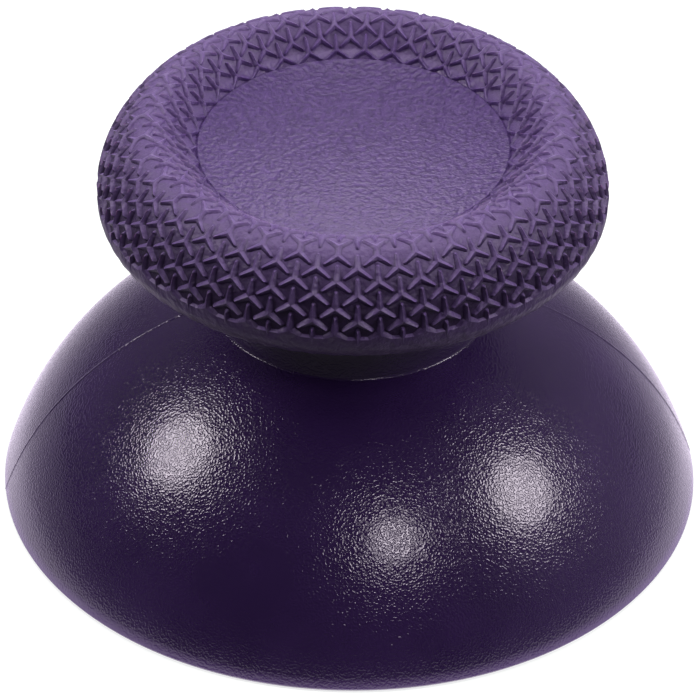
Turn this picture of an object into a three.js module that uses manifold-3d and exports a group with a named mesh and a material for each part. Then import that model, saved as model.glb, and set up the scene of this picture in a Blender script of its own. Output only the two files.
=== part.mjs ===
// Thumbstick cap of a game controller, in two moulded pieces: a hard stick with
// a domed skirt, a neck and a core disc, and a soft grip moulded over the disc,
// with a concave dish inside a rim covered with small raised three-armed stars.
// Millimetres, +Z up. The origin is the centre of the skirt's lower edge, and
// azimuth 0 is the front (-Y), counted anticlockwise from above.

import * as THREE from 'three';
import { mergeVertices } from 'three/addons/utils/BufferGeometryUtils.js';
import Module from 'manifold-3d';

const wasm = await Module();
wasm.setup();

// Domed skirt: an elliptic dome, cut off by the plane that the cap rests on
const skirtRadius = 12.2;
const domeApexHeight = 8.65;
const domeCentreDrop = 3.13;
const skirtWall = 1.1;

// Neck between the dome and the core disc
const neckFootRadius = 4.87;
const neckTopRadius = 4.65;
const neckFootFillet = 0.25;
const neckTopFillet = 1.0;

// Core disc inside the grip
const coreRadius = 6.9;
const coreThickness = 1.0;

// Boss under the dome, with the two-flat socket that takes the lever
const bossEndHeight = 1.5;
const bossEndRadius = 3.2;
const bossRootRadius = 3.4;
const socketRadius = 2.03;
const socketAcrossFlats = 3.05;
const socketDepth = 5.5;
const socketChamfer = 0.35;

// Four gussets between the boss and the dome, on the diagonals
const gussetCount = 4;
const gussetThickness = 0.8;
const gussetReach = 6.2;
const gussetFootHeight = 3.2;

// Rim of the grip: an elliptic section that leans inward at the top
const rimCentreRadius = 7.39;
const rimCentreHeight = 13.13;
const rimHalfWidth = 1.17;
const rimHalfHeight = 2.03;
const rimLean = THREE.MathUtils.degToRad(26.8);

// Angles on that section: its underside, its crest line and its inner slope
const undersideAngle = THREE.MathUtils.degToRad(-107);
const crestAngle = THREE.MathUtils.degToRad(52);
const innerSlopeAngle = THREE.MathUtils.degToRad(94);

// Concave dish inside the rim
const dishRadius = 5.31;
const dishEdgeHeight = 14.02;
const dishHollow = 0.5;

// Lip of the grip under the core disc, and the clearance round the disc
const lipMouthRadius = 6.45;
const lipThickness = 0.55;
const gripGap = 0.05;

// Stars: columns stand side by side, and rows are mirrored at the crest line
const starPairs = 36;
const starPhase = THREE.MathUtils.degToRad(1.4);
const starPitch = 0.912;
const starDepth = 0.155;
const firstStarOffset = 0.19;
const stemReach = 0.64;
const armReach = 0.66;
const footReach = 0.8;
const smoothBand = 1.1;

// Faceting of the hidden surfaces, which need fewer sides than the outside
const hollowSides = 48;
const bossSides = 32;
const domeSteps = 11;
const hollowSteps = 8;
const filletSteps = 3;
const bandSteps = 3;
const dishSteps = 4;

// Sizes that follow from the ones above
const starColumns = 2 * starPairs;
const domeHalfHeight = domeApexHeight + domeCentreDrop;
const domeHalfWidth = skirtRadius / Math.sqrt(1 - (domeCentreDrop / domeHalfHeight) ** 2);
const hollowHalfHeight = domeHalfHeight - skirtWall;
const hollowHalfWidth = domeHalfWidth - skirtWall;

// A run of points (radius, height) on an elliptic arc
function arcPoints(centre, halfWidth, halfHeight, from, to, steps) {
  return Array.from({ length: steps + 1 }, (unused, i) => {
    const angle = from + (to - from) * i / steps;
    return new THREE.Vector2(
      centre.x + halfWidth * Math.cos(angle),
      centre.y + halfHeight * Math.sin(angle),
    );
  });
}

// A profile (radius, height) turned round the vertical axis, with a corner of
// its facets on the azimuth of a star column
function turned(profile, sides) {
  return new THREE.LatheGeometry(profile, sides, starPhase).rotateX(Math.PI / 2);
}

// A geometry as a solid for cuts and joins: corners merged, slivers dropped
function solidOf(geometry) {
  const bare = geometry.index ? geometry.toNonIndexed() : geometry.clone();
  bare.deleteAttribute('normal');
  bare.deleteAttribute('uv');
  const merged = mergeVertices(bare, 1e-4);
  const corners = merged.index.array;
  const faces = [];
  for (let i = 0; i < corners.length; i += 3) {
    const [a, b, c] = corners.slice(i, i + 3);
    if (a !== b && b !== c && c !== a) {
      faces.push(a, b, c);
    }
  }
  return new wasm.Manifold(new wasm.Mesh({
    numProp: 3,
    vertProperties: new Float32Array(merged.attributes.position.array),
    triVerts: new Uint32Array(faces),
  }));
}

// The surface of a solid as a geometry again
function geometryOf(solid) {
  const mesh = solid.getMesh();
  const geometry = new THREE.BufferGeometry();
  geometry.setAttribute('position', new THREE.BufferAttribute(mesh.vertProperties, 3));
  geometry.setIndex(new THREE.BufferAttribute(mesh.triVerts, 1));
  geometry.computeVertexNormals();
  return geometry;
}

// A round post between two heights
function post(lowerRadius, upperRadius, lowerHeight, upperHeight, sides) {
  const height = upperHeight - lowerHeight;
  return new THREE.CylinderGeometry(upperRadius, lowerRadius, height, sides)
    .rotateX(Math.PI / 2)
    .translate(0, 0, lowerHeight + height / 2);
}

// Section of the rim: it runs from the crest line down the outside to the
// underside, and from the crest line down the inside to the dish
function rimArc(fromAngle, toAngle) {
  const path = new THREE.Path();
  path.absellipse(
    rimCentreRadius, rimCentreHeight, rimHalfWidth, rimHalfHeight,
    fromAngle, toAngle, toAngle < fromAngle, rimLean,
  );
  return path;
}

const outerSlope = { path: rimArc(crestAngle, undersideAngle), outward: 1 };
const innerSlope = { path: rimArc(crestAngle, innerSlopeAngle), outward: -1 };
innerSlope.path.lineTo(dishRadius, dishEdgeHeight);
for (const slope of [outerSlope, innerSlope]) {
  slope.length = slope.path.getLength();
}

const underside = outerSlope.path.getPoint(1);
const coreUnderside = underside.y + lipThickness + gripGap;
const coreTop = coreUnderside + coreThickness;

// A point (radius, height) of the section, at a distance from the crest line
// and a depth below the surface
function sectionPoint(slope, distance, depth) {
  const part = distance / slope.length;
  const tangent = slope.path.getTangent(part);
  const normal = new THREE.Vector2(-tangent.y, tangent.x).multiplyScalar(slope.outward);
  return slope.path.getPoint(part).addScaledVector(normal, -depth);
}

// Hard stick

// Outside of the stick: skirt edge, dome, neck with its fillets, core disc
function stickProfile() {
  const domeCentre = new THREE.Vector2(0, -domeCentreDrop);
  const filletRadius = neckFootRadius + neckFootFillet;
  const filletRise = (domeHalfHeight + neckFootFillet)
    * Math.sqrt(1 - (filletRadius / (domeHalfWidth + neckFootFillet)) ** 2);
  const filletCentre = new THREE.Vector2(filletRadius, filletRise - domeCentreDrop);
  const towardDome = Math.atan2(
    -filletRise / (domeHalfHeight + neckFootFillet) ** 2,
    -filletRadius / (domeHalfWidth + neckFootFillet) ** 2,
  ) + 2 * Math.PI;
  const domeEndRadius = filletRadius + neckFootFillet * Math.cos(towardDome);
  const domeArc = arcPoints(
    domeCentre, domeHalfWidth, domeHalfHeight,
    Math.asin(domeCentreDrop / domeHalfHeight), Math.acos(domeEndRadius / domeHalfWidth), domeSteps,
  );
  const footArc = arcPoints(
    filletCentre, neckFootFillet, neckFootFillet, towardDome, Math.PI, filletSteps,
  );
  const topCentre = new THREE.Vector2(neckTopRadius + neckTopFillet, coreUnderside - neckTopFillet);
  const topArc = arcPoints(
    topCentre, neckTopFillet, neckTopFillet, Math.PI, Math.PI / 2, filletSteps,
  );
  return [
    new THREE.Vector2(0, 0),
    ...domeArc,
    ...footArc.slice(1),
    ...topArc,
    new THREE.Vector2(coreRadius, coreUnderside),
    new THREE.Vector2(coreRadius, coreTop),
    new THREE.Vector2(0, coreTop),
  ];
}

// The hollow under the dome, one wall inside it and open at the skirt edge
function hollowProfile() {
  const belowEdge = Math.asin(domeCentreDrop * 0.5 / hollowHalfHeight);
  const arc = arcPoints(
    new THREE.Vector2(0, -domeCentreDrop), hollowHalfWidth, hollowHalfHeight,
    belowEdge, Math.PI / 2, hollowSteps,
  );
  return [new THREE.Vector2(0, arc[0].y), ...arc];
}

// A triangular gusset from the boss to the dome, turned to its azimuth
function gusset(azimuth) {
  const side = new THREE.Shape([
    new THREE.Vector2(socketRadius, gussetFootHeight),
    new THREE.Vector2(bossEndRadius, gussetFootHeight),
    new THREE.Vector2(gussetReach, domeApexHeight - skirtWall),
    new THREE.Vector2(gussetReach, domeApexHeight),
    new THREE.Vector2(socketRadius, domeApexHeight),
  ]);
  return new THREE.ExtrudeGeometry(side, { depth: gussetThickness, bevelEnabled: false })
    .translate(0, 0, -gussetThickness / 2)
    .rotateX(Math.PI / 2)
    .rotateZ(azimuth);
}

// The socket for the lever: a bore with two flats and a round lead-in
function socketSolid() {
  const top = bossEndHeight + socketDepth;
  const below = bossEndHeight - socketChamfer;
  const bore = solidOf(post(socketRadius, socketRadius, below, top, bossSides));
  const flats = solidOf(
    new THREE.BoxGeometry(2 * bossEndRadius, socketAcrossFlats, top - below)
      .translate(0, 0, (top + below) / 2),
  );
  const leadIn = solidOf(post(
    socketRadius + 2 * socketChamfer, socketRadius - socketChamfer,
    below, bossEndHeight + 2 * socketChamfer, bossSides,
  ));
  return bore.intersect(flats).add(leadIn);
}

function stickGeometry() {
  const outside = solidOf(turned(stickProfile(), starColumns));
  const hollow = solidOf(turned(hollowProfile(), hollowSides));
  const bossTop = (hollowHalfHeight - domeCentreDrop + domeApexHeight) / 2;
  let stick = outside.subtract(hollow)
    .add(solidOf(post(bossEndRadius, bossRootRadius, bossEndHeight, bossTop, bossSides)));
  for (let i = 0; i < gussetCount; i += 1) {
    const azimuth = 2 * Math.PI * (i + 0.5) / gussetCount;
    stick = stick.add(solidOf(gusset(azimuth)).intersect(outside));
  }
  return geometryOf(stick.subtract(socketSolid()));
}

// Soft grip

// Corners and faces of a surface, gathered one by one. A column number, which
// may be a fraction, gives the azimuth of a corner.
class Surface {
  constructor() {
    this.positions = [];
    this.faces = [];
  }

  corner(point, column) {
    const azimuth = starPhase + 2 * Math.PI * column / starColumns;
    this.positions.push(point.x * Math.sin(azimuth), -point.x * Math.cos(azimuth), point.y);
    return this.positions.length / 3 - 1;
  }

  ring(point) {
    return Array.from({ length: starColumns }, (unused, column) => this.corner(point, column));
  }

  face(a, b, c, flip = false) {
    this.faces.push(...(flip ? [a, c, b] : [a, b, c]));
  }

  // A band of faces from one ring to the next one down the profile
  band(upper, lower) {
    for (let column = 0; column < starColumns; column += 1) {
      const next = (column + 1) % starColumns;
      this.face(upper[column], lower[column], lower[next]);
      this.face(upper[column], lower[next], upper[next]);
    }
  }

  // A fan of faces from a ring to the axis
  fan(ring, height, flip) {
    const centre = this.corner(new THREE.Vector2(0, height), 0);
    for (let column = 0; column < starColumns; column += 1) {
      this.face(centre, ring[column], ring[(column + 1) % starColumns], flip);
    }
  }

  geometry() {
    const geometry = new THREE.BufferGeometry();
    geometry.setAttribute('position', new THREE.Float32BufferAttribute(this.positions, 3));
    geometry.setIndex(this.faces);
    geometry.computeVertexNormals();
    return geometry;
  }
}

// The crest line, which the two slopes share. Odd columns have a ridge across
// it with a foot on each side, and even columns have a gap between two stems.
function crestLine(surface) {
  const top = sectionPoint(outerSlope, 0, 0);
  const floor = sectionPoint(outerSlope, 0, starDepth);
  const sideFoot = 1 - footReach;
  return Array.from({ length: starColumns }, (unused, column) => {
    if (column % 2 === 0) {
      return { gap: surface.corner(floor, column) };
    }
    return {
      ridge: surface.corner(top, column),
      footBefore: surface.corner(floor, column - sideFoot),
      footAfter: surface.corner(floor, column + sideFoot),
    };
  });
}

// The stars of one slope. Row and column numbers of a star add up to an odd
// number, so each row is half a pitch past the one before it. A star has a
// centre, a stem toward the crest and two arms away from it. Each stem or arm
// is a ridge to its tip, and ends at a foot on the floor, in the fork of the
// star that it points to. The three ridges round a floor enclose a pocket.
// The last row's arms run into a smooth ring: below them lies either a smooth
// band, with the stems of one more row of stars, or the bare dish.
class StarSlope {
  constructor(surface, slope, crest, rows, endDistance, endHasStems) {
    Object.assign(this, { surface, slope, crest, rows, endDistance, endHasStems });
    this.endRing = surface.ring(sectionPoint(slope, endDistance, 0));
    this.stars = new Map();
  }

  distance(row) {
    return row < this.rows ? firstStarOffset + row * starPitch / 2 : this.endDistance;
  }

  corner(column, distance, depth) {
    return this.surface.corner(sectionPoint(this.slope, distance, depth), column);
  }

  // Tip and foot of an arm that runs from a star to the next row, on one side
  arm(column, row, side) {
    const from = this.distance(row);
    const run = this.distance(row + 1) - from;
    const tip = this.corner(column + side * armReach, from + armReach * run, 0);
    if (row < this.rows - 1) {
      return { tip, foot: this.corner(column + side * footReach, from + footReach * run, starDepth) };
    }
    if (this.endHasStems) {
      return { tip, foot: this.corner(column + side * footReach, from + run / 2, starDepth) };
    }
    return { tip, foot: this.star(column + side, row + 1).centre };
  }

  // Tip and foot of a stem. The second row's stems end at the crest line.
  stem(column, row) {
    const from = this.distance(row);
    if (row === this.rows && !this.endHasStems) {
      const fork = this.distance(row - 2) + (1 - footReach) * starPitch;
      return { tip: null, foot: this.corner(column, fork, starDepth) };
    }
    const run = row === 1 ? from : footReach * starPitch;
    return {
      tip: this.corner(column, from - run * stemReach / footReach, 0),
      foot: row === 1 ? this.crest[column].gap : this.corner(column, from - run, starDepth),
    };
  }

  star(column, row) {
    const home = (column + starColumns) % starColumns;
    const key = row * starColumns + home;
    if (!this.stars.has(key)) {
      const isEnd = row === this.rows;
      this.stars.set(key, {
        centre: isEnd ? this.endRing[home] : this.corner(home, this.distance(row), 0),
        stem: row > 0 ? this.stem(home, row) : null,
        before: isEnd ? null : this.arm(home, row, -1),
        after: isEnd ? null : this.arm(home, row, 1),
      });
    }
    return this.stars.get(key);
  }

  // The side of a ridge that faces a pocket, with the fork behind its start
  ridgeSide(centre, ridge, fork, flip) {
    this.surface.face(centre, ridge.tip, fork, flip);
    this.surface.face(ridge.tip, ridge.foot, fork, flip);
  }

  // The half pocket beside the crest line, between a first and a second row star
  crestPocket(column, side, flip) {
    const { surface } = this;
    const first = this.star(column, 0);
    const second = this.star(column + side, 1);
    const arm = side > 0 ? first.after : first.before;
    const beside = side > 0 ? this.crest[column].footAfter : this.crest[column].footBefore;
    surface.face(this.crest[column].ridge, first.centre, beside, flip);
    surface.face(second.stem.foot, beside, arm.foot, flip);
    this.ridgeSide(first.centre, arm, beside, flip);
    this.ridgeSide(second.centre, second.stem, arm.foot, flip);
  }

  // A pocket between a star, the star a pitch nearer the crest, and the star of
  // the next column that lies between them
  pocket(column, row, side, flip) {
    const { surface } = this;
    const lower = this.star(column, row);
    const upper = this.star(column, row - 2);
    const middle = this.star(column + side, row - 1);
    const upperArm = side > 0 ? upper.after : upper.before;
    const middleArm = side > 0 ? middle.before : middle.after;
    surface.face(lower.stem.foot, upperArm.foot, middleArm.foot, flip);
    this.ridgeSide(upper.centre, upperArm, lower.stem.foot, flip);
    this.ridgeSide(middle.centre, middleArm, upperArm.foot, flip);
    if (lower.stem.tip !== null) {
      this.ridgeSide(lower.centre, lower.stem, middleArm.foot, flip);
    }
    if (row === this.rows && this.endHasStems) {
      surface.face(middleArm.tip, lower.centre, middleArm.foot, flip);
    }
  }

  // The faces between the last arms and the smooth ring
  seam(column, side, flip) {
    const last = this.star(column + side, this.rows - 1);
    const arm = side > 0 ? last.before : last.after;
    const below = this.endRing[(column + side + starColumns) % starColumns];
    this.surface.face(this.endRing[column], below, arm.tip, flip);
    this.surface.face(below, last.centre, arm.tip, flip);
  }

  build() {
    const inward = this.slope.outward < 0;
    for (let column = 0; column < starColumns; column += 1) {
      for (const side of [-1, 1]) {
        const flip = (side < 0) !== inward;
        if (column % 2 === 1) {
          this.crestPocket(column, side, flip);
        }
        for (let row = 2; row <= this.rows; row += 1) {
          if ((column + row) % 2 === 1) {
            this.pocket(column, row, side, !flip);
          }
        }
        if ((column + this.rows) % 2 === 1) {
          this.seam(column, side, flip);
        }
      }
    }
    return this.endRing;
  }
}

// The lower end of the rim: smooth band, lip under the core disc, and cavity
function gripUnderside(surface, bandRing, bandDistance) {
  let ring = bandRing;
  const distances = Array.from({ length: bandSteps }, (unused, i) => (
    bandDistance + (outerSlope.length - bandDistance) * (i + 1) / bandSteps
  ));
  const profile = [
    ...distances.map((distance) => sectionPoint(outerSlope, distance, 0)),
    new THREE.Vector2(lipMouthRadius, underside.y),
    new THREE.Vector2(lipMouthRadius, underside.y + lipThickness),
    new THREE.Vector2(coreRadius + gripGap, underside.y + lipThickness),
    new THREE.Vector2(coreRadius + gripGap, coreTop + gripGap),
  ];
  for (const point of profile) {
    const next = surface.ring(point);
    surface.band(ring, next);
    ring = next;
  }
  surface.fan(ring, coreTop + gripGap, true);
}

// The concave dish, from its edge to the axis
function gripDish(surface, edgeRing) {
  let ring = edgeRing;
  for (let step = dishSteps - 1; step > 0; step -= 1) {
    const part = step / dishSteps;
    const height = dishEdgeHeight - dishHollow * (1 - part ** 2);
    const next = surface.ring(new THREE.Vector2(dishRadius * part, height));
    surface.band(next, ring);
    ring = next;
  }
  surface.fan(ring, dishEdgeHeight - dishHollow, false);
}

function gripGeometry() {
  const surface = new Surface();
  const crest = crestLine(surface);
  const rowPitch = starPitch / 2;
  const outerRun = outerSlope.length - smoothBand - firstStarOffset;
  const outerRows = Math.floor(outerRun / rowPitch);
  const innerRows = Math.ceil((innerSlope.length - firstStarOffset) / rowPitch);
  const bandDistance = firstStarOffset + outerRows * rowPitch;
  const outer = new StarSlope(surface, outerSlope, crest, outerRows, bandDistance, true);
  const inner = new StarSlope(surface, innerSlope, crest, innerRows, innerSlope.length, false);
  gripUnderside(surface, outer.build(), bandDistance);
  gripDish(surface, inner.build());
  return surface.geometry();
}

// A named piece with its own material
function piece(name, geometry, colour, roughness) {
  const material = new THREE.MeshStandardMaterial({ color: colour, roughness, metalness: 0 });
  const mesh = new THREE.Mesh(geometry, material);
  mesh.name = name;
  return mesh;
}

const thumbstickCap = new THREE.Group();
thumbstickCap.add(piece('stick_body', stickGeometry(), 0x33234a, 0.35));
thumbstickCap.add(piece('rubber_grip', gripGeometry(), 0x674f86, 0.75));

export default thumbstickCap;
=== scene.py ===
# %% [markdown]
# A thumbstick cap is two mouldings in one. A hard plastic stick has a domed
# skirt, a short neck and a hidden disc; a soft grip is moulded over that disc.
# The grip has a shallow dish for the thumb and a raised rim with small stars.
# The solids come from a packed frame. This script gives both mouldings their
# fine surface and their finish, and sets the camera and the light.

# %% Load the frame
import math

import bmesh
import bpy
import numpy as np
from mathutils import Matrix, Vector
from mathutils.geometry import delaunay_2d_cdt


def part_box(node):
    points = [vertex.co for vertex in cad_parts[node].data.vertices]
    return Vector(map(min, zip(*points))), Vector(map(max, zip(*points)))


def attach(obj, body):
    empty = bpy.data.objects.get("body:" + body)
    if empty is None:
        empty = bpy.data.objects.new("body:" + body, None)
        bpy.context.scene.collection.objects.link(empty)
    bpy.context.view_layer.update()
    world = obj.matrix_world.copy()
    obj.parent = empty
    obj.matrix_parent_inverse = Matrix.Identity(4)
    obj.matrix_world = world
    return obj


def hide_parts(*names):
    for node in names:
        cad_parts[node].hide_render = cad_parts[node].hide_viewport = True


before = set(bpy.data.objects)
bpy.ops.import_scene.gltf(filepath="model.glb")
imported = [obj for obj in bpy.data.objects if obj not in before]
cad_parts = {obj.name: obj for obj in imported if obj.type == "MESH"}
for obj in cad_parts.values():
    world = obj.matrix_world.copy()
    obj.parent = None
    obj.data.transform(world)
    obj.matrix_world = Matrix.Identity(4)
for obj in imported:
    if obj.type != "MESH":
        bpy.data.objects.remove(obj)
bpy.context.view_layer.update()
mm = 0.001
for node in ("stick_body", "rubber_grip"):
    low, high = (Vector(corner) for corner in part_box(node))
    print(node, [round(side / mm, 2) for side in high - low], "mm")

# %% [markdown]
# The photograph was taken from in front and above, with a long lens. The camera
# looks at a point on the axis of the stick, from a distance and a height angle,
# and is rolled by less than a degree. Its axes are set by hand instead of with
# a constraint, because the roll is then one of the named values.

# %% Camera
view_height_angle = math.radians(36.67)
view_roll = math.radians(0.72)
view_distance = 221.8 * mm
view_target = Vector((-0.03 * mm, 0, 5.37 * mm))
lens_length = 326.9
sensor_width = 36.0
near_clip = 10 * mm

toward_camera = Vector((0, -math.cos(view_height_angle), math.sin(view_height_angle)))
level_right = Vector((1, 0, 0))
level_up = toward_camera.cross(level_right)
camera_right = level_right * math.cos(view_roll) + level_up * math.sin(view_roll)
camera_up = level_up * math.cos(view_roll) - level_right * math.sin(view_roll)
camera_turn = Matrix((camera_right, camera_up, toward_camera)).transposed().to_4x4()

camera_data = bpy.data.cameras.new("photo_camera")
camera_data.lens = lens_length
camera_data.sensor_width = sensor_width
camera_data.clip_start = near_clip
camera = bpy.data.objects.new("photo_camera", camera_data)
camera_place = view_target + toward_camera * view_distance
camera.matrix_world = Matrix.Translation(camera_place) @ camera_turn
bpy.context.scene.collection.objects.link(camera)
bpy.context.scene.camera = camera
bpy.context.scene.view_settings.view_transform = "Standard"
print("camera at", [round(v / mm, 1) for v in camera_place], "mm")

# %% [markdown]
# The rim of the grip has an elliptic section that leans inward at the top. The
# rows of stars are counted from its crest line, down the outside and down the
# inside. So each side of the rim is kept as a slope: a line of points whose
# measure is the distance along the section from the crest. A star can then be
# drawn flat, with true lengths, and laid onto the rim afterwards.

# %% Sizes of the rim
rim_centre_radius = 7.39 * mm
rim_centre_height = 13.13 * mm
rim_half_width = 1.17 * mm
rim_half_height = 2.03 * mm
rim_lean = math.radians(26.8)
underside_angle = math.radians(-107)
crest_angle = math.radians(52)
inner_slope_angle = math.radians(94)
dish_radius = 5.31 * mm
dish_edge_height = 14.02 * mm
print("rim", 2 * rim_half_width / mm, "by", 2 * rim_half_height / mm, "mm in section")


# %% Section of the rim
def rim_points(from_angle, to_angle, steps=300):
    """Points (radius, height) on the elliptic section of the rim."""
    angle = np.linspace(from_angle, to_angle, steps + 1)
    across = rim_half_width * np.cos(angle)
    along = rim_half_height * np.sin(angle)
    return np.stack([
        rim_centre_radius + across * math.cos(rim_lean) - along * math.sin(rim_lean),
        rim_centre_height + across * math.sin(rim_lean) + along * math.cos(rim_lean),
    ], axis=1)


crest_radius, crest_height = rim_points(crest_angle, crest_angle, 1)[0] / mm
print("crest at radius", round(crest_radius, 2), "and height", round(crest_height, 2), "mm")


# %% Slopes of the rim
class Slope:
    """One side of the rim's section, measured from the crest line."""

    def __init__(self, points, outward):
        steps = np.diff(points, axis=0)
        self.points = points
        self.measure = np.concatenate([[0], np.cumsum(np.hypot(*steps.T))])
        self.length = self.measure[-1]
        tangent = np.gradient(points, self.measure, axis=0)
        tangent /= np.hypot(*tangent.T)[:, None]
        self.normals = outward * np.stack([-tangent[:, 1], tangent[:, 0]], axis=1)

    def at(self, distance, depth=0.0):
        """(radius, height) at a distance from the crest and a depth below the surface."""
        return tuple(
            np.interp(distance, self.measure, self.points[:, i])
            - depth * np.interp(distance, self.measure, self.normals[:, i])
            for i in (0, 1)
        )


inner_wall_steps = 60
outer_slope = Slope(rim_points(crest_angle, underside_angle), 1)
inner_arc = rim_points(crest_angle, inner_slope_angle)
inner_wall = np.linspace(inner_arc[-1], (dish_radius, dish_edge_height), inner_wall_steps)[1:]
inner_slope = Slope(np.concatenate([inner_arc, inner_wall]), -1)
inner_slope.normals[0] = outer_slope.normals[0]
for side, slope in (("outer", outer_slope), ("inner", inner_slope)):
    print(side, "slope", round(slope.length / mm, 2), "mm")

# %% [markdown]
# Each star has a stem that points to the crest of the rim and two arms that
# point away from it. On the real grip they are crisp, with steep sides and a
# slight crown. Displacing an even grid would need millions of faces to show
# such edges, so the mesh follows the outlines of the stars. Three outlines run
# round each star: near its ridge, halfway down its side and at its foot. Each
# star lies on an edge of a strip, so it is drawn as half a star, and its mirror
# image completes it. The pockets between the stars are shallowest on the crest.

# %% Sizes of a star
star_columns = 72
column_angle = 2 * math.pi / star_columns
star_phase = math.radians(1.4)
star_pitch = 0.912 * mm
star_depth = 0.14 * mm
crest_share = 0.5
crest_run = 1.6 * mm
first_star_offset = 0.19 * mm
full_width = 0.7 * mm
stem_reach = 0.66 * star_pitch
second_stem_reach = 0.8
arm_reach = 0.69
arm_spread = 0.96
root_half = 0.112 * mm
middle_half = 0.078 * mm
tip_half = 0.05 * mm
end_part = 0.94
cheek_share = 0.55
nose_share = 0.27
outlines = [(-0.036 * mm, 0.74), (0.0, 0.44), (0.036 * mm, 0.0)]
crown_parts = (0.3, 0.6, 0.9)


def pocket_depth(distance):
    """The depth of the pockets at a distance from the crest."""
    return star_depth * (crest_share + (1 - crest_share) * np.clip(distance / crest_run, 0, 1))


print("pockets", pocket_depth(0) / mm, "mm deep at the crest and", star_depth / mm, "mm lower down")


# %% Half a star
def crossing(a, b, c, d):
    """Where the endless lines a-b and c-d cross."""
    along, across = b - a, d - c
    return a + along * ((c - a).cross(across) / along.cross(across))


class StarSides:
    """The sides of half a star, with its centre at (0, 0) and its stem along -Y."""

    def __init__(self, slope, row, arm_end=None):
        self.row = row
        self.slope = slope
        self.distance = first_star_offset + row * star_pitch / 2
        self.width = slope.at(self.distance)[0] * column_angle
        self.scale = slope.at(self.distance if row else 0.0)[0] * column_angle / full_width
        to_next = arm_end or Vector((arm_spread * self.width, star_pitch / 2))
        self.arm = to_next.normalized()
        self.arm_length = arm_reach * math.hypot(self.width, star_pitch / 2)
        self.stem = Vector((0, -1))
        self.stem_length = stem_reach
        if row == 1:
            self.stem_length = second_stem_reach * self.distance

    def place(self, points):
        """Star points as (column part, distance): odd rows on edge 0, even rows on edge 1."""
        placed = []
        for point in points:
            distance = self.distance + point.y
            part = round(point.x / (self.slope.at(distance)[0] * column_angle), 6)
            placed.append((part if self.row % 2 else 1 - part, round(distance, 10)))
        return placed

    def side(self, along, length, grow, turn):
        """Root, middle and end of one side of a stem or an arm."""
        across = Vector((-along.y, along.x)) * turn * self.scale
        return [
            along * length * part + across * (half + grow)
            for part, half in ((0, root_half), (0.5, middle_half), (end_part, tip_half))
        ]

    def stem_side(self, grow):
        return self.side(self.stem, self.stem_length, grow, 1)

    def arm_side(self, grow, turn):
        return self.side(self.arm, self.arm_length, grow, turn)


sample = StarSides(outer_slope, 4)
print("stem", round(sample.stem_length / mm, 2), "mm, arms", round(sample.arm_length / mm, 2), "mm")


# %% Outline of half a star
class HalfStar(StarSides):
    """Half a star with its outline and its crown."""

    def fork(self, grow):
        """Where the side of the stem meets the upper side of the arm."""
        stem, arm = self.stem_side(grow), self.arm_side(grow, -1)
        return crossing(stem[0], stem[1], arm[0], arm[1])

    def fork_below(self, grow):
        """Where the lower sides of the two arms meet, under the centre."""
        lower = self.arm_side(grow, 1)
        return crossing(lower[0], lower[1], Vector((0, 0)), Vector((0, 1)))

    def stem_outline(self, grow):
        """From the tip, or from the crest line, to the fork."""
        root, middle, end = self.stem_side(grow)
        if self.row == 0:
            crest = root.lerp(middle, self.distance / (root.y - middle.y))
            return [Vector((crest.x, -self.distance)), self.fork(grow)]
        nose = Vector((0, -self.stem_length - grow))
        cheek = Vector((end.x * cheek_share, nose.y))
        return [nose, cheek, end, middle, self.fork(grow)]

    def arm_outline(self, grow):
        """From the fork round the arm to the fork below the centre."""
        upper = self.arm_side(grow, -1)
        lower = self.arm_side(grow, 1)
        nose = self.arm * (self.arm_length + grow)
        half = (upper[2] - lower[2]) * nose_share
        tip = [nose + half, nose - half]
        return [upper[1], upper[2], *tip, lower[2], lower[1], self.fork_below(grow)]

    def crown(self, along, length):
        """The crest along the middle of a stem or an arm."""
        return [along * length * part for part in crown_parts]


sample = HalfStar(outer_slope, 4)
print("outline of", len(sample.stem_outline(0) + sample.arm_outline(0)), "points")

# %% [markdown]
# One strip reaches from the middle of a star column to the middle of the next.
# Its outlines are the constraints of a Delaunay triangulation, which fills the
# strip without crossing them. Points on a fine grid go onto the pocket floors
# between the stars, so that the floors keep the round of the rim. On the outside
# the stars end at a smooth band, and the last stems grow out of it. On the
# inside the last arms meet at the edge of the dish: the floors rise to it
# between them, and a small pocket stays open under each star.

# %% Sizes of a strip
strip_width = 0.65 * mm
outer_rows = 7
inner_rows = 5
band_edge = 3.09 * mm
band_start = 3.4 * mm
dish_ring = 0.045 * mm
ring_parts = (0.3, 0.5, 1.0)
last_arm_rise = 0.36 * mm
last_pocket_depth = 0.1 * mm
floor_rise = 0.42 * mm
floor_spacing = 0.1 * mm
floor_start = 0.06 * mm
floor_margin = 0.05 * mm
crown_margin = 0.15 * mm
band_parts = (0.33, 0.67)
stub_crown_parts = (0.7, 0.9)
band_star_crown = 0.1 * mm
edge_divisions = 6
least_area = 1e-6
fill_tolerance = 1e-5
print(star_columns, "strips,", outer_rows, "rows outside and", inner_rows, "inside the crest")


# %% Lines of a strip
class StripLines:
    """Points and lines, flat as (column part, distance), with a depth at each point."""

    def __init__(self, slope, end, has_band):
        self.slope = slope
        self.end = end
        self.has_band = has_band
        self.points = []
        self.depths = []
        self.edges = []
        self.crowns = []

    def floor_depth(self, distance):
        if self.has_band:
            return pocket_depth(distance)
        return pocket_depth(distance) * min(1.0, max(0.0, (self.end - distance) / floor_rise))

    def add_points(self, points, relief, full_depth=None):
        self.points += points
        for _, distance in points:
            depth = self.floor_depth(distance) if full_depth is None else full_depth
            self.depths.append(depth * (1 - relief))

    def add_line(self, points, relief, full_depth=None):
        first = len(self.points)
        self.add_points(points, relief, full_depth)
        self.edges += [(i, i + 1) for i in range(first, len(self.points) - 1)]

    def add_border(self):
        """Even points on the crest line and on the end line."""
        parts = np.linspace(0, 1, edge_divisions + 1)
        self.add_points([(part, 0.0) for part in parts[:-2]], 0.0)
        self.add_points([(1.0, 0.0), *((part, self.end) for part in parts)], 1.0)


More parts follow.
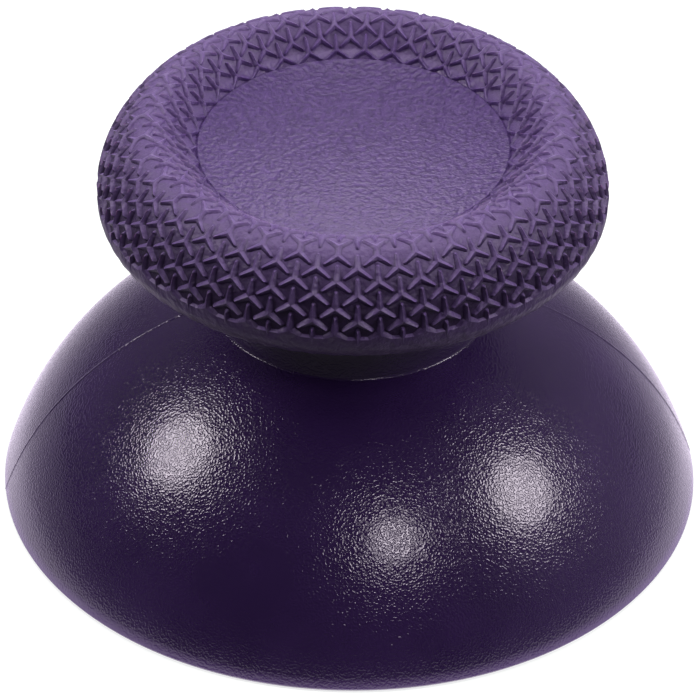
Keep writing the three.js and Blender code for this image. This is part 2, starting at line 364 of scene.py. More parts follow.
sample = StripLines(inner_slope, inner_slope.length, False)
print("pocket floor", round(sample.floor_depth(inner_slope.length / 2) / mm, 3), "mm deep inside")


# %% Stars of a strip
class StripStars(StripLines):
    """The lines of the half stars on a strip."""

    def add_star(self, star):
        for grow, relief in outlines:
            outline = star.stem_outline(grow) + star.arm_outline(grow)
            self.add_line(star.place(outline), relief)
        self.add_crowns(star, star.crown(star.arm, star.arm_length))

    def add_crowns(self, star, arm_crown):
        if star.row:
            self.add_line(star.place(star.crown(star.stem, star.stem_length)), 1.0)
        self.add_line(star.place([Vector((0, 0)), *arm_crown]), 1.0)
        self.crowns += star.place([Vector((0, 0)), star.arm * root_half])

    def level(self, star, line, distance):
        """Where a side of a star reaches a distance from the crest."""
        height = distance - star.distance
        return crossing(*line, Vector((0, height)), Vector((1, height)))

    def add_band(self, star, stub):
        """The last whole stars merge into the band, and the next stems grow out of it."""
        for grow, relief in outlines:
            edge = band_edge - grow
            foot = self.level(star, star.arm_side(grow, -1)[:2], edge)
            left = star.place([*star.stem_outline(grow), foot])
            _, middle, end = stub.stem_side(grow)
            foot = self.level(stub, (middle, end), edge)
            nose, cheek = stub.stem_outline(grow)[:2]
            right = stub.place([foot, end, cheek, nose])
            between = [
                (left[-1][0] + (right[0][0] - left[-1][0]) * part, edge) for part in band_parts
            ]
            self.add_line([*left, *between, *right], relief)
        self.add_crowns(star, [star.arm * band_star_crown])
        stub_crown = [stub.stem * stub.stem_length * part for part in stub_crown_parts]
        self.add_line(stub.place(stub_crown), 1.0)

    def add_dish_edge(self, row):
        """The last arms meet on the other edge of the strip, at the edge of the dish."""
        width = self.slope.at(self.end)[0] * column_angle
        star = HalfStar(self.slope, row, Vector((width, last_arm_rise)))
        for (grow, relief), ring_part in zip(outlines, ring_parts):
            upper = star.arm_side(grow, -1)[1]
            lower = star.arm_side(grow, 1)[1]
            meeting = crossing(upper, upper + star.arm, Vector((width, 0)), Vector((width, 1)))
            line = star.place([*star.stem_outline(grow), upper])
            self.add_line([*line, (0.0, star.distance + meeting.y)], relief)
            corner = self.level(star, (lower, lower + star.arm), self.end - dish_ring * ring_part)
            pocket = star.place([star.fork_below(grow), lower, corner, Vector((0, corner.y))])
            self.add_line(pocket, relief, last_pocket_depth)
        self.add_crowns(star, star.crown(star.arm, star.arm_length))


sample = StripStars(outer_slope, band_start, True)
sample.add_star(HalfStar(outer_slope, 4))
print("half a star takes", len(sample.points), "points and", len(sample.edges), "lines")


# %% Strip of stars
class Strip(StripStars):
    """Half a star column, filled with faces."""

    def __init__(self, slope, rows, end, has_band):
        super().__init__(slope, end, has_band)
        for row in range(rows - 1):
            self.add_star(HalfStar(slope, row))
        if has_band:
            self.add_band(HalfStar(slope, rows - 1), HalfStar(slope, rows))
        else:
            self.add_dish_edge(rows - 1)
        self.add_border()
        self.add_floor()
        self.fill()

    def add_floor(self):
        scale = np.array([strip_width, 1.0])
        fixed = np.array(self.points) * scale
        starts, ends = (fixed[[edge[i] for edge in self.edges]] for i in (0, 1))
        along = ends - starts
        crowns = np.array(self.crowns) * scale
        floor_end = (band_edge if self.has_band else self.end) - 2 * floor_margin
        for distance in np.arange(floor_start, floor_end, floor_spacing):
            for part in np.linspace(0, 1, edge_divisions + 1):
                spot = np.array([part, distance]) * scale
                reach = ((spot - starts) * along).sum(axis=1) / (along * along).sum(axis=1)
                nearest = starts + along * np.clip(reach, 0, 1)[:, None]
                clear = np.hypot(*(nearest - spot).T).min() > floor_margin
                if clear and np.hypot(*(crowns - spot).T).min() > crown_margin:
                    self.add_points([(part, distance)], 0.0)

    def fill(self):
        flat = [Vector((part * strip_width, distance)) / mm for part, distance in self.points]
        corners, _, faces, sources, _, _ = delaunay_2d_cdt(flat, self.edges, [], 0, fill_tolerance)
        self.corners = np.array(corners, dtype=float) * mm / np.array([strip_width, 1.0])
        sides = np.diff(np.array(corners, dtype=float)[np.array(faces)], axis=1)
        areas = abs(np.cross(sides[:, 0], sides[:, 1])) / 2
        self.faces = np.array(faces)[areas > least_area]
        crossings = [i for i, source in enumerate(sources) if not source]
        depths = [self.depths[source[0]] if source else 0.0 for source in sources]
        self.corner_depths = np.array(depths)
        print("strip of", len(faces), "faces with", len(crossings), "crossed lines")
        for i in crossings:
            print("  crossing at", np.round(self.corners[i] / (1, mm), 3))


outer_strip = Strip(outer_slope, outer_rows, band_start, True)
inner_strip = Strip(inner_slope, inner_rows, inner_slope.length, False)

# %% [markdown]
# The strips are laid side by side round the rim, every second one mirrored. The
# dish, the smooth band, the lip under the hidden disc and the cavity round that
# disc are turned profiles. Their rings have the same corners as the ends of the
# strips, so that everything can be welded into one closed surface. The band has
# a slight ripple, with one hollow to each half column, where the pockets fade.

# %% Sizes of the grip
band_steps = 10
ripple_depth = 0.025 * mm
dish_steps = 16
dish_hollow = 0.5 * mm
lip_mouth_radius = 6.45 * mm
lip_thickness = 0.55 * mm
lip_edge = 0.08 * mm
grip_gap = 0.05 * mm
core_radius = 6.9 * mm
core_thickness = 1.0 * mm
ring_corners = star_columns * edge_divisions
weld_distance = 1e-7

underside_height = outer_slope.at(outer_slope.length)[1]
core_underside = underside_height + lip_thickness + grip_gap
core_top = core_underside + core_thickness
print("hidden disc from", round(core_underside / mm, 2), "to", round(core_top / mm, 2), "mm")


# %% Smooth band
def turned_grid(radii, heights, azimuths):
    """Corners and faces of a grid of rings and columns round the axis."""
    radii, heights, azimuths = np.broadcast_arrays(radii, heights, azimuths)
    corners = np.stack([radii * np.sin(azimuths), -radii * np.cos(azimuths), heights], axis=2)
    rings, sides = radii.shape
    index = np.arange(rings * sides).reshape(rings, sides)
    after = np.roll(index, -1, axis=1)
    faces = np.stack([index[:-1], index[1:], after[1:], after[:-1]], axis=2)
    return corners.reshape(-1, 3), faces.reshape(-1, 4)


ring_azimuths = star_phase + np.arange(ring_corners) * column_angle / edge_divisions
band_distances = np.linspace(band_start, outer_slope.length, band_steps)[:, None]
ripple_across = 0.5 - 0.5 * np.cos(math.tau * np.arange(ring_corners) / edge_divisions)
ripple_along = np.sin(np.linspace(0, math.pi, band_steps))[:, None]
band_profile = outer_slope.at(band_distances, ripple_depth * (ripple_along * ripple_across))
band = turned_grid(*band_profile, ring_azimuths)
print("band", len(band[1]), "faces")


# %% Lip and dish
def turned(profile, azimuths):
    """Corners and faces of a profile (radius, height) turned round the axis."""
    radii, heights = np.array(profile).T[:, :, None]
    return turned_grid(radii, heights, azimuths)


cavity_radius = core_radius + grip_gap
lip_top = underside_height + lip_thickness
lip = turned([
    outer_slope.at(outer_slope.length),
    (lip_mouth_radius + lip_edge, underside_height),
    (lip_mouth_radius, underside_height + lip_edge),
    (lip_mouth_radius, lip_top),
    (cavity_radius, lip_top),
    (cavity_radius, core_top + grip_gap),
    (0.0, core_top + grip_gap),
], ring_azimuths)
dish = turned([
    (dish_radius * part, dish_edge_height - dish_hollow * (1 - part ** 2))
    for part in np.linspace(1, 0, dish_steps)
], ring_azimuths)
print("lip and dish", len(lip[1]) + len(dish[1]), "faces")


# %% Stars laid on the rim
def laid(strip):
    """Corners, faces and relief of all the copies of a strip on the rim."""
    radius, height = strip.slope.at(strip.corners[:, 1], strip.corner_depths)
    corners, faces = [], []
    for column in range(star_columns):
        part = 1 - strip.corners[:, 0] if column % 2 else strip.corners[:, 0]
        azimuth = star_phase + (column + part) * column_angle
        across, along = radius * np.sin(azimuth), -radius * np.cos(azimuth)
        faces.append(strip.faces + len(strip.corners) * column)
        corners.append(np.stack([across, along, height], axis=1))
    relief = 1 - strip.corner_depths / pocket_depth(strip.corners[:, 1])
    return np.concatenate(corners), np.concatenate(faces), np.tile(relief, star_columns)


outer_stars = laid(outer_strip)
inner_stars = laid(inner_strip)
print("stars", len(outer_stars[1]) + len(inner_stars[1]), "faces")


# %% Grip mesh
def welded_mesh(name, parts, sharp_angle):
    """One mesh from several (corners, faces), welded, with its normals outward."""
    bm = bmesh.new()
    relief_layer = bm.verts.layers.float.new("relief")
    for corners, faces, *relief in parts:
        verts = [bm.verts.new(corner) for corner in corners]
        for vert, value in zip(verts, relief[0] if relief else np.ones(len(verts))):
            vert[relief_layer] = value
        for face in faces:
            bm.faces.new([verts[i] for i in face])
    bmesh.ops.remove_doubles(bm, verts=bm.verts, dist=weld_distance)
    bmesh.ops.dissolve_degenerate(bm, edges=bm.edges, dist=weld_distance)
    bmesh.ops.recalc_face_normals(bm, faces=bm.faces)
    open_edges = sum(not edge.is_manifold for edge in bm.edges)
    mesh = bpy.data.meshes.new(name)
    bm.to_mesh(mesh)
    bm.free()
    mesh.shade_smooth()
    mesh.set_sharp_from_angle(angle=math.radians(sharp_angle))
    print(name, len(mesh.polygons), "faces,", open_edges, "open edges")
    return mesh


grip_sharp_angle = 22
grip_parts = [outer_stars, inner_stars, band, lip, dish]
grip_mesh = welded_mesh("soft_grip", grip_parts, grip_sharp_angle)
soft_grip = bpy.data.objects.new("soft_grip", grip_mesh)
bpy.context.scene.collection.objects.link(soft_grip)
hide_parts("rubber_grip")
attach(soft_grip, "root")

# %% [markdown]
# The hard stick is one shell: an elliptic dome that the skirt's lower edge cuts
# off, a hollow one wall inside it, the neck with a fillet at each end, and the
# disc that holds the grip. It is turned from one profile, with columns that are
# fine enough for a glossy finish. The two halves of the mould met in a plane
# through the axis, which left a thin raised line on each side. A few columns of
# corners stand close together on those two meridians, and make the line.

# %% Sizes of the stick
skirt_radius = 12.2 * mm
dome_apex_height = 8.65 * mm
dome_centre_drop = 3.13 * mm
skirt_wall = 1.1 * mm
skirt_edge_round = 0.1 * mm
neck_foot_radius = 4.87 * mm
neck_top_radius = 4.65 * mm
neck_foot_fillet = 0.12 * mm
neck_top_fillet = 1.0 * mm
parting_azimuth = math.radians(96.36)
parting_half_width = 0.045 * mm
parting_height = 0.018 * mm
shell_columns = 288

dome_half_height = dome_apex_height + dome_centre_drop
dome_half_width = skirt_radius / math.sqrt(1 - (dome_centre_drop / dome_half_height) ** 2)
hollow_half_height = dome_half_height - skirt_wall
hollow_half_width = dome_half_width - skirt_wall
print("dome", round(dome_half_width / mm, 2), "by", round(dome_half_height / mm, 2), "mm")


# %% Profile of the stick
def arc(centre, half_width, half_height, from_angle, to_angle, steps):
    """Points (radius, height) on an elliptic arc."""
    return [
        (centre[0] + half_width * math.cos(angle), centre[1] + half_height * math.sin(angle))
        for angle in np.linspace(from_angle, to_angle, steps + 1)
    ]


hollow_steps = 40
dome_steps = 80
foot_steps = 6
neck_steps = 10
hollow_top_angle = math.radians(87)

grown_half_width = dome_half_width + neck_foot_fillet
grown_half_height = dome_half_height + neck_foot_fillet
fillet_radius = neck_foot_radius + neck_foot_fillet
fillet_rise = grown_half_height * math.sqrt(1 - (fillet_radius / grown_half_width) ** 2)
fillet_start = math.tau + math.atan2(
    -fillet_rise / grown_half_height ** 2, -fillet_radius / grown_half_width ** 2)
dome_end_radius = fillet_radius + neck_foot_fillet * math.cos(fillet_start)
dome_centre = (0, -dome_centre_drop)
dome_start = math.asin((dome_centre_drop + skirt_edge_round) / dome_half_height)
dome_end = math.acos(dome_end_radius / dome_half_width)
hollow_start = math.asin(dome_centre_drop / hollow_half_height)

hollow_profile = [
    (0.0, hollow_half_height - dome_centre_drop),
    *arc(dome_centre, hollow_half_width, hollow_half_height,
         hollow_top_angle, hollow_start, hollow_steps),
    (skirt_radius - skirt_edge_round, 0.0),
]
outside_profile = [
    *arc(dome_centre, dome_half_width, dome_half_height, dome_start, dome_end, dome_steps),
    *arc((fillet_radius, fillet_rise - dome_centre_drop), neck_foot_fillet, neck_foot_fillet,
         fillet_start, math.pi, foot_steps)[1:],
    *arc((neck_top_radius + neck_top_fillet, core_underside - neck_top_fillet),
         neck_top_fillet, neck_top_fillet, math.pi, math.pi / 2, neck_steps),
]
disc_profile = [(core_radius, core_underside), (core_radius, core_top), (0.0, core_top)]
shell_profile = np.array(hollow_profile + outside_profile + disc_profile)
print("profile", len(shell_profile), "points")

# %% Shell of the stick
stick_sharp_angle = 35
columns = [
    (parting_azimuth + math.tau * i / shell_columns, 0.0, 0.0)
    for i in range(shell_columns) if i % (shell_columns // 2)
]
for side in (0, math.pi):
    for place in (-2, -1, 0, 1, 2):
        columns.append((parting_azimuth + side, place * parting_half_width, float(place == 0)))
columns.sort(key=lambda column: column[0] + column[1] / neck_foot_radius)
base_azimuths, offsets, on_line = np.array(columns).T

is_outside = np.zeros(len(shell_profile))
is_outside[len(hollow_profile):len(hollow_profile) + len(outside_profile)] = 1
profile_run = np.gradient(shell_profile, axis=0)
outward = np.stack([profile_run[:, 1], -profile_run[:, 0]], axis=1)
outward /= np.hypot(*outward.T)[:, None]
lifts = parting_height * is_outside[:, None] * on_line
radii = shell_profile[:, :1] + outward[:, :1] * lifts
heights = shell_profile[:, 1:] + outward[:, 1:] * lifts
azimuths = base_azimuths + offsets / np.maximum(shell_profile[:, :1], neck_top_radius)
shell_part = turned_grid(radii, heights, azimuths)
shell_mesh = welded_mesh("hard_stick", [shell_part], stick_sharp_angle)
shell = bpy.data.objects.new("hard_stick", shell_mesh)
bpy.context.scene.collection.objects.link(shell)

# %% [markdown]
# Under the dome stands a boss with the socket for the lever: a bore with two
# flats and a lead-in cone at its mouth. Four gussets tie the boss to the dome.
# They are separate closed solids first. Boolean modifiers with the exact solver
# join them to the shell and cut the socket, as in solid modelling, and the
# result is kept as a plain mesh.

# %% Boss
boss_end_height = 1.5 * mm
boss_end_radius = 3.2 * mm
boss_root_radius = 3.4 * mm
boss_edge = 0.08 * mm
round_sides = 96


def turned_solid(name, profile):
    """A closed round solid from its profile."""
    part = turned(profile, np.arange(round_sides) * math.tau / round_sides)
    return bpy.data.objects.new(name, welded_mesh(name, [part], stick_sharp_angle))


boss_top = (hollow_half_height - dome_centre_drop + dome_apex_height) / 2
boss = turned_solid("boss", [
    (0.0, boss_end_height), (boss_end_radius - boss_edge, boss_end_height),
    (boss_end_radius, boss_end_height + boss_edge), (boss_root_radius, boss_top), (0.0, boss_top),
])

# %% Gussets
gusset_count = 4
gusset_thickness = 0.8 * mm
gusset_side = [(2.5, 3.2), (3.2, 3.2), (5.7, 6.825), (4.5, 7.3), (2.5, 7.9)]


def prism(name, outline, low, high):
    """A closed prism over a flat outline."""
    count = len(outline)
    corners = np.array([(x, y, z) for z in (low, high) for x, y in outline])
    walls = [(i, (i + 1) % count, (i + 1) % count + count, i + count) for i in range(count)]
    ends = [tuple(range(count))[::-1], tuple(range(count, 2 * count))]
    mesh = welded_mesh(name, [(corners, walls + ends)], stick_sharp_angle)
    return bpy.data.objects.new(name, mesh)


upright = Matrix.Rotation(math.pi / 2, 4, "X")
gusset_outline = [(x * mm, z * mm) for x, z in gusset_side]
gussets = []
for i in range(gusset_count):
    gusset = prism(f"gusset_{i + 1}", gusset_outline, -gusset_thickness / 2, gusset_thickness / 2)
    turn = Matrix.Rotation(math.tau * (i + 0.5) / gusset_count, 4, "Z")
    gusset.data.transform(turn @ upright)
    gussets.append(gusset)

# %% Socket
socket_radius = 2.03 * mm
socket_across_flats = 3.05 * mm
socket_depth = 5.5 * mm
socket_chamfer = 0.35 * mm
socket_arc_points = 24

flat_angle = math.asin(socket_across_flats / 2 / socket_radius)
half_arc = np.linspace(-flat_angle, flat_angle, socket_arc_points)
other_arc = np.linspace(math.pi - flat_angle, math.pi + flat_angle, socket_arc_points)
bore_outline = [
    (socket_radius * math.cos(angle), socket_radius * math.sin(angle))
    for angle in (*half_arc, *other_arc)
]
bore_low = boss_end_height - socket_chamfer
bore = prism("bore", bore_outline, bore_low, boss_end_height + socket_depth)
lead_in = turned_solid("lead_in", [
    (0.0, bore_low), (socket_radius + 2 * socket_chamfer, bore_low),
    (socket_radius - socket_chamfer, boss_end_height + 2 * socket_chamfer),
    (0.0, boss_end_height + 2 * socket_chamfer),
])

# %% Join and cut
steps = [("UNION", boss), *(("UNION", gusset) for gusset in gussets)]
steps += [("DIFFERENCE", bore), ("DIFFERENCE", lead_in)]
for operation, tool in steps:
    bpy.context.scene.collection.objects.link(tool)
    modifier = shell.modifiers.new(tool.name, "BOOLEAN")
    modifier.operation = operation
    modifier.solver = "EXACT"
    modifier.object = tool
evaluated = shell.evaluated_get(bpy.context.evaluated_depsgraph_get())
stick_mesh = bpy.data.meshes.new_from_object(evaluated)
stick_mesh.name = "hard_stick_mesh"
for _, tool in steps:
    bpy.data.objects.remove(tool)
bpy.data.objects.remove(shell)

hard_stick = bpy.data.objects.new("hard_stick", stick_mesh)
bpy.context.scene.collection.objects.link(hard_stick)
stick_mesh.shade_smooth()
stick_mesh.set_sharp_from_angle(angle=math.radians(stick_sharp_angle))
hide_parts("stick_body")
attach(hard_stick, "root")
print("stick", len(stick_mesh.polygons), "faces")

# %% [markdown]
# Both plastics carry a texture from the mould. A photograph of plastic would fix
# one scale and one light, so noise in the object's own coordinates makes the
# grain instead. It has the same size everywhere and needs no unwrapping. Short
# calls add the shading nodes, so that each finish reads as a list of its parts.

# %% Helpers for node trees
class Tree:
    """A node tree, with short calls for its nodes."""

    def __init__(self, tree):
        self.tree = tree

    def add(self, kind, settings=None, **inputs):
        node = self.tree.nodes.new(kind)
        for key, value in (settings or {}).items():
            setattr(node, key, value)
        for key, value in inputs.items():
            self.set(node.inputs[key.replace("_", " ")], value)
        return node

    def set(self, socket, value):
        if isinstance(value, bpy.types.NodeSocket):
            self.tree.links.new(value, socket)
        else:
            socket.default_value = value

    def in_order(self, node, values):
        """Give values to a node whose inputs share a name, in their order."""
        for socket, value in zip(node.inputs, values):
            self.set(socket, value)
        return node.outputs

    def math(self, operation, *values):
        return self.in_order(self.add("ShaderNodeMath", {"operation": operation}), values)[0]

    def vectors(self, operation, *values):
        """A sum or product of vectors, or the number that measures them."""
        node = self.add("ShaderNodeVectorMath", {"operation": operation})
        is_number = operation in ("LENGTH", "DOT_PRODUCT")
        return self.in_order(node, values)["Value" if is_number else "Vector"]

    def part(self, vector, axis):
        return self.add("ShaderNodeSeparateXYZ", Vector=vector).outputs[axis]

    def ramp(self, value, low, high, to_low=0.0, to_high=1.0, shape="LINEAR"):
        """A value that goes from to_low to to_high while another goes from low to high."""
        return self.add("ShaderNodeMapRange", {"interpolation_type": shape}, Value=value,
                        From_Min=low, From_Max=high, To_Min=to_low, To_Max=to_high).outputs[0]


print("helpers", [name for name in vars(Tree) if not name.startswith("_")])


# %% Helpers for materials
noise_low, noise_high = 0.35, 0.65


def colour(red, green, blue):
    """An sRGB colour of 0 to 255 as the linear colour that shaders use."""
    parts = (value / 255 for value in (red, green, blue))
    return (*((v / 12.92 if v < 0.04045 else ((v + 0.055) / 1.055) ** 2.4) for v in parts), 1.0)


class Finish(Tree):
    """The node tree of a new material."""

    def __init__(self, name):
        self.material = bpy.data.materials.new(name)
        self.material.use_nodes = True
        super().__init__(self.material.node_tree)
        self.shader = self.tree.nodes["Principled BSDF"]
        coordinates = self.add("ShaderNodeTexCoord").outputs
        self.place, self.normal = coordinates["Object"], coordinates["Normal"]

    def noise(self, size, detail):
        """Noise whose patches are about as large as size."""
        return self.add("ShaderNodeTexNoise", Vector=self.place,
                        Scale=1 / size, Detail=detail).outputs["Fac"]

    def mix(self, factor, first, second):
        node = self.add("ShaderNodeMix", {"data_type": "RGBA"})
        for index, value in ((0, factor), (6, first), (7, second)):
            self.set(node.inputs[index], value)
        return node.outputs[2]

    def bump(self, height, depth, before=None):
        node = self.add("ShaderNodeBump", Height=height, Distance=depth, Strength=1.0)
        if before:
            self.set(node.inputs["Normal"], before)
        return node.outputs["Normal"]

    def give(self, piece, **inputs):
        """Set the shader's inputs, and give the finish to a piece."""
        for key, value in inputs.items():
            self.set(self.shader.inputs[key.replace("_", " ")], value)
        piece.data.materials.clear()
        piece.data.materials.append(self.material)
        print(piece.name, "has", self.material.name, "with", len(self.tree.nodes), "nodes")


print("mid grey is", round(colour(128, 128, 128)[0], 3), "in linear light")

# %% [markdown]
# The stick has the grain of a spark-eroded mould: tiny rounded bumps under a
# gloss. They are almost too small to see, but they break the reflections of the
# lamps into speckles, dense in the middle and thinner round it. Roughness alone
# would blur the reflections evenly. So the grain is a real bump, made of noise
# whose bumps are given flat tops: the tops mirror the middle of a highlight and
# the edges spread its rim. The lower edge of the skirt is painted paler, a
# painted glow of light from the floor, more on its outside than on its underside.

# %% Grain of the hard plastic
grain_size = 0.075 * mm
grain_height = 0.0049 * mm
pebble_foot, pebble_top = 0.33, 0.67

plastic = Finish("grained_gloss_plastic")
grain = plastic.noise(grain_size, 0.3)
pebbles = plastic.ramp(grain, pebble_foot, pebble_top, shape="SMOOTHSTEP")
print("grain", grain_size / mm, "mm wide and", grain_height / mm, "mm high")

# %% Colour of the hard plastic
dark_violet = colour(38, 21, 60)
light_violet = colour(44, 26, 67)
# Paler violet for the painted glow of floor light on the skirt's lower edge.
glow_violet = colour(98, 74, 128)
patch_size = 3 * mm
glow_low, glow_high = 0.05 * mm, 0.5 * mm
glow_strength = 0.65
underside_share = 0.2
facing_down, facing_out = -0.9, -0.3

patches = plastic.ramp(plastic.noise(patch_size, 3.0), noise_low, noise_high)
violet = plastic.mix(patches, dark_violet, light_violet)
# Painted glow: the lowest half millimetre of the skirt is painted paler violet, as light from the
# floor would light it, more on the outside than underneath.
glow_by_height = plastic.ramp(
    plastic.part(plastic.place, "Z"), glow_low, glow_high, glow_strength, 0.0)
glow_by_facing = plastic.ramp(
    plastic.part(plastic.normal, "Z"), facing_down, facing_out, underside_share, 1.0)
painted_glow = plastic.math("MULTIPLY", glow_by_height, glow_by_facing)
print("skirt rubbed up to", glow_high / mm, "mm above the floor")

# %% Hard plastic
pit_roughness = 0.22
top_roughness = 0.09
# The base colour holds the painted floor glow on the skirt's lower edge.
plastic.give(
    hard_stick,
    Base_Color=plastic.mix(painted_glow, violet, glow_violet),
    Roughness=plastic.ramp(grain, noise_low, noise_high, pit_roughness, top_roughness),
    IOR=1.5,
    Specular_IOR_Level=0.9,
    Normal=plastic.bump(pebbles, grain_height),
)

# %% [markdown]
# The grip is a matt soft plastic with a leathery grain. Its pockets are painted
# darker than its star tops, as painted shade in the hollows, and the dish is
# darker and smoother than the rim. A painted picture would have to be fitted to
# every star. Instead the mesh keeps at each corner how far it stands over its
# pocket, as the attribute named relief, and the two colours follow it. Both are
# painted darker where the rim turns downward, as painted shade, but hardly on
# the inner slope. Light enters the plastic a little way, which softens the
# edges: subsurface scattering does that.

# %% Parts of the soft grip
dish_inner, dish_outer = 5.4 * mm, 6.0 * mm
slope_inner, slope_outer = 7.0 * mm, 7.6 * mm
slope_share = 0.9
foot_relief, top_relief = 0.05, 0.6

rubber = Finish("matt_soft_plastic")
flat_place = rubber.vectors("MULTIPLY", rubber.place, (1, 1, 0))
axis_distance = rubber.vectors("LENGTH", flat_place)
in_dish = rubber.ramp(axis_distance, dish_inner, dish_outer, 1, 0)
inner_slope_share = rubber.ramp(axis_distance, slope_inner, slope_outer, slope_share, 0)
# Painted light and shade by facing: up-facing parts and the inner slope get the lit colours,
# downward faces get painted shade.
upward = rubber.part(rubber.normal, "Z")
painted_light_share = rubber.math("MAXIMUM", upward, inner_slope_share)
relief = rubber.add("ShaderNodeAttribute", {"attribute_name": "relief"}).outputs["Fac"]
star_top = rubber.ramp(relief, foot_relief, top_relief)
print("dish finish up to", dish_inner / mm, "mm from the axis")

# %% Colours of the soft plastic
lilac, pale_lilac = colour(92, 71, 120), colour(100, 79, 128)
handled_lilac = colour(106, 86, 134)
# The darker colours are painted shade, for the rim and its pockets where they turn downward.
painted_shade_lilac = colour(62, 44, 85)
pocket_above, painted_shade_pocket = colour(91, 71, 118), colour(40, 23, 59)
dish_violet, pale_dish_violet = colour(58, 39, 85), colour(80, 58, 111)
leather_size = 0.17 * mm
cloud_size = 2.5 * mm
leather_low, leather_high = 0.35, 0.7
shade_low, shade_high, pocket_shade_high = 0.3, 0.9, 0.85

leather = rubber.noise(leather_size, 2.5)
leather_tops = rubber.ramp(leather, leather_low, leather_high)
clouds = rubber.ramp(rubber.noise(cloud_size, 3.0), noise_low, noise_high)
handled = rubber.mix(leather_tops, rubber.mix(clouds, lilac, pale_lilac), handled_lilac)
# Painted shade on the rim: its colour darkens as the rim turns downward.
rim_light = rubber.ramp(painted_light_share, shade_low, shade_high)
rim_colour = rubber.mix(rim_light, painted_shade_lilac, handled)
dish_colour = rubber.mix(leather_tops, dish_violet, pale_dish_violet)
raised = rubber.mix(in_dish, rim_colour, dish_colour)
# Painted shade in the pockets: darker than the star tops, most where the rim turns downward.
pocket_light = rubber.ramp(painted_light_share, shade_low, pocket_shade_high)
pocket = rubber.mix(pocket_light, painted_shade_pocket, pocket_above)
print("leathery grain", leather_size / mm, "mm wide")

# %% Soft plastic
rim_roughness, dish_roughness = 0.45, 0.3
rim_unevenness, dish_unevenness = 0.07 * mm, 0.015 * mm
unevenness_size = 0.4 * mm
leather_height = 0.05 * mm

uneven_depth = rubber.ramp(in_dish, 0, 1, rim_unevenness, dish_unevenness)
uneven = rubber.bump(rubber.noise(unevenness_size, 1.0), uneven_depth)
# The base colour holds painted shade in the pockets and on downward faces.
rubber.give(
    soft_grip,
    Base_Color=rubber.mix(star_top, pocket, raised),
    Roughness=rubber.ramp(in_dish, 0, 1, rim_roughness, dish_roughness),
    IOR=1.5,
    Subsurface_Weight=0.3,
    Subsurface_Radius=(1.0, 0.7, 1.0),
    Subsurface_Scale=0.12 * mm,
    Normal=rubber.bump(leather, leather_height, uneven),
)

# %% [markdown]
# The object stands on plain white paper. A glossy dome mirrors such paper, and
# paper lights it from below. A photographer would hold that back with black
# cards just out of the picture. Here the floor answers each kind of ray in its
# own way. The camera sees plain paper. Other rays see a dark floor with a glow
# close to the skirt, and glossy rays also see it brighter behind the object.

# %% Floor
floor_half = 1.5
floor_drop = 0.01 * mm
floor_sides = ((-1, -1), (1, -1), (1, 1), (-1, 1))
floor_mesh = bpy.data.meshes.new("floor")
floor_mesh.from_pydata(
    [(x * floor_half, y * floor_half, -floor_drop) for x, y in floor_sides], [], [(0, 1, 2, 3)])
floor = bpy.data.objects.new("floor", floor_mesh)
bpy.context.scene.collection.objects.link(floor)
print("floor", 2 * floor_half, "m wide")

# %% White paper
tinge = (1.0, 0.89, 1.08, 1)
dark = (0, 0, 0, 1)
seen_paper, hidden_paper = (0.36, 0.4, 0.36, 1), (0.04, 0.04, 0.04, 1)
paper_glow = (0.66, 0.66, 0.66, 1)
ring_inner, ring_outer = 13 * mm, 17 * mm
ring_glow = 0.92
behind_low, behind_high = -9 * mm, 16 * mm
bright_reach, faint_reach = 15 * mm, 32 * mm
faint_glow = 0.22

paper = Finish("white_paper")
rays = paper.add("ShaderNodeLightPath").outputs
reach = paper.vectors("LENGTH", paper.place)
ring = paper.ramp(reach, ring_inner, ring_outer, ring_glow, 0.0)
behind_share = paper.ramp(paper.part(paper.place, "Y"), behind_low, behind_high)
behind_glow = paper.ramp(reach, bright_reach, faint_reach, 1.0, faint_glow)
behind_light = paper.mix(behind_share, dark, behind_glow)
glossy_light = paper.mix(rays["Is Glossy Ray"], dark, behind_light)
hidden_glow = paper.vectors("MULTIPLY", paper.vectors("ADD", ring, glossy_light), tinge[:3])
paper.give(
    floor,
    Base_Color=paper.mix(rays["Is Camera Ray"], hidden_paper, seen_paper),
    Roughness=0.9,
    Emission_Color=paper.mix(rays["Is Camera Ray"], hidden_glow, paper_glow),
    Emission_Strength=1.0,
)

# %% [markdown]
# The dome shows three soft highlights. Each is a round lamp, and it stands where
# the dome's slope mirrors it into the camera, so its direction can be worked out
# from the photo. Its width sets how wide the highlight is. A wide lamp above and
# behind lights the rim's far side, and a small low one gives the dish its sheen.

# %% Lamps
lamp_distance = 350 * mm
lamp_aim = Vector((0, 0, 8 * mm))
lamp_colour = (1.0, 0.9, 1.0)
lamps = [
    ("left_lamp", -90.1, 39.8, 125 * mm, 0.36),
    ("right_lamp", 78.2, 34.8, 125 * mm, 0.335),
    ("front_lamp", 19.9, 43.9, 85 * mm, 0.15),
    ("top_lamp", 178, 76, 260 * mm, 0.46),
    ("back_lamp", 180, 20, 80 * mm, 0.074),
]
for name, azimuth_degrees, height_degrees, width, power in lamps:
    lamp_azimuth = math.radians(azimuth_degrees)
    lamp_height = math.radians(height_degrees)
    toward_lamp = Vector((
        math.sin(lamp_azimuth) * math.cos(lamp_height),
        -math.cos(lamp_azimuth) * math.cos(lamp_height),
        math.sin(lamp_height),
    ))
    light = bpy.data.lights.new(name, "AREA")
    light.shape = "DISK"
    light.size = width
    light.energy = power
    light.color = lamp_colour
    lamp = bpy.data.objects.new(name, light)
    lamp.location = lamp_aim + toward_lamp * lamp_distance
    lamp.rotation_euler = toward_lamp.to_track_quat("Z", "Y").to_euler()
    bpy.context.scene.collection.objects.link(lamp)
    print(name, "at", [round(v / mm) for v in lamp.location], "mm")

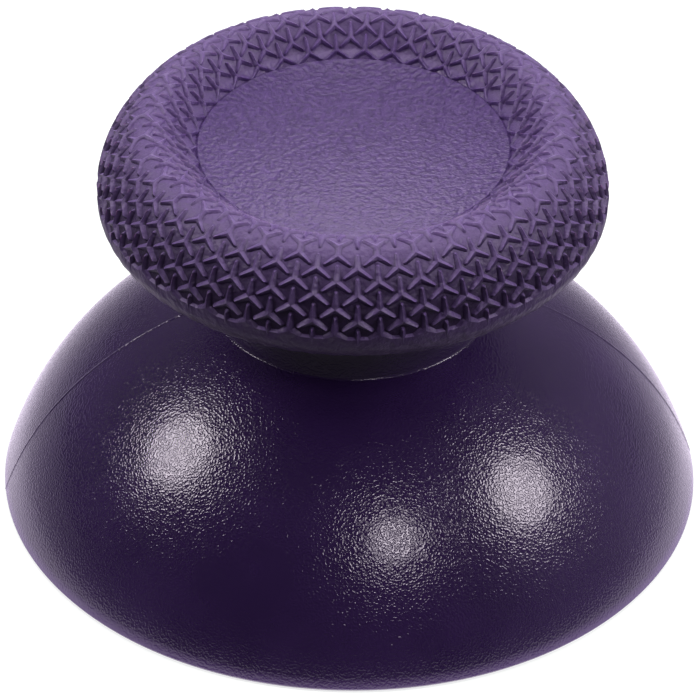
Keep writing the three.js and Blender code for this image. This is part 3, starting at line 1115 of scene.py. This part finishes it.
# %% [markdown]
# The rest of the light comes from the room. The camera sees it white. The matt
# grip gets soft light from both sides and from behind, and little from above and
# in front. The glossy dome sees the room nearly black, with a pale part low at
# the back on the right, which draws the bands along its upper outlines. An even
# white room would be simpler, but it would wash the dark plastic out.

# %% Light of the room
room_dimmest, room_brightest = 0.01, 2.6
dim_until, bright_from = 0.2, 1.2
back_direction = (0.15, 1.0, 0.0)
side_weight = 1.1
band_direction = (0.58, 0.78, 0.25)
band_glow = 0.17
band_from, band_to = -0.3, 1.0
band_low, band_high = 0.45, 0.85
room_gloss = 0.03

world = bpy.data.worlds.new("studio")
bpy.context.scene.world = world
world.use_nodes = True
world.node_tree.nodes.clear()
room = Tree(world.node_tree)
direction = room.add("ShaderNodeTexCoord").outputs["Generated"]
sideways = room.math("ABSOLUTE", room.part(direction, "X"))
backward = room.vectors("DOT_PRODUCT", direction, back_direction)
around = room.math("MULTIPLY_ADD", sideways, side_weight, backward)
soft_light = room.ramp(around, dim_until, bright_from, room_dimmest, room_brightest)
toward_band = room.vectors("DOT_PRODUCT", direction, band_direction)
band_light = room.ramp(toward_band, band_from, band_to, 0.0, band_glow)
low_share = room.ramp(room.part(direction, "Z"), band_low, band_high, 1.0, 0.0)
glossy_room = room.math("MULTIPLY_ADD", band_light, low_share, room_gloss)
print("light of the room from", room_dimmest, "to", room_brightest)


# %% Surroundings
def background(strength, tint=(1, 1, 1, 1)):
    return room.add("ShaderNodeBackground", Color=tint, Strength=strength).outputs[0]


def either(share, first, second):
    """One light or the other, by the kind of ray."""
    return room.in_order(room.add("ShaderNodeMixShader"), (share, first, second))[0]


room_rays = room.add("ShaderNodeLightPath").outputs
unseen = either(
    room_rays["Is Glossy Ray"], background(soft_light), background(glossy_room, tinge))
seen = either(room_rays["Is Camera Ray"], unseen, background(1.0))
room.add("ShaderNodeOutputWorld", Surface=seen)
print("room with", len(world.node_tree.nodes), "nodes")

# %% [markdown]
# The boxes of the frame's two solids are printed when the frame is loaded. The
# model has to keep the size of the solids.
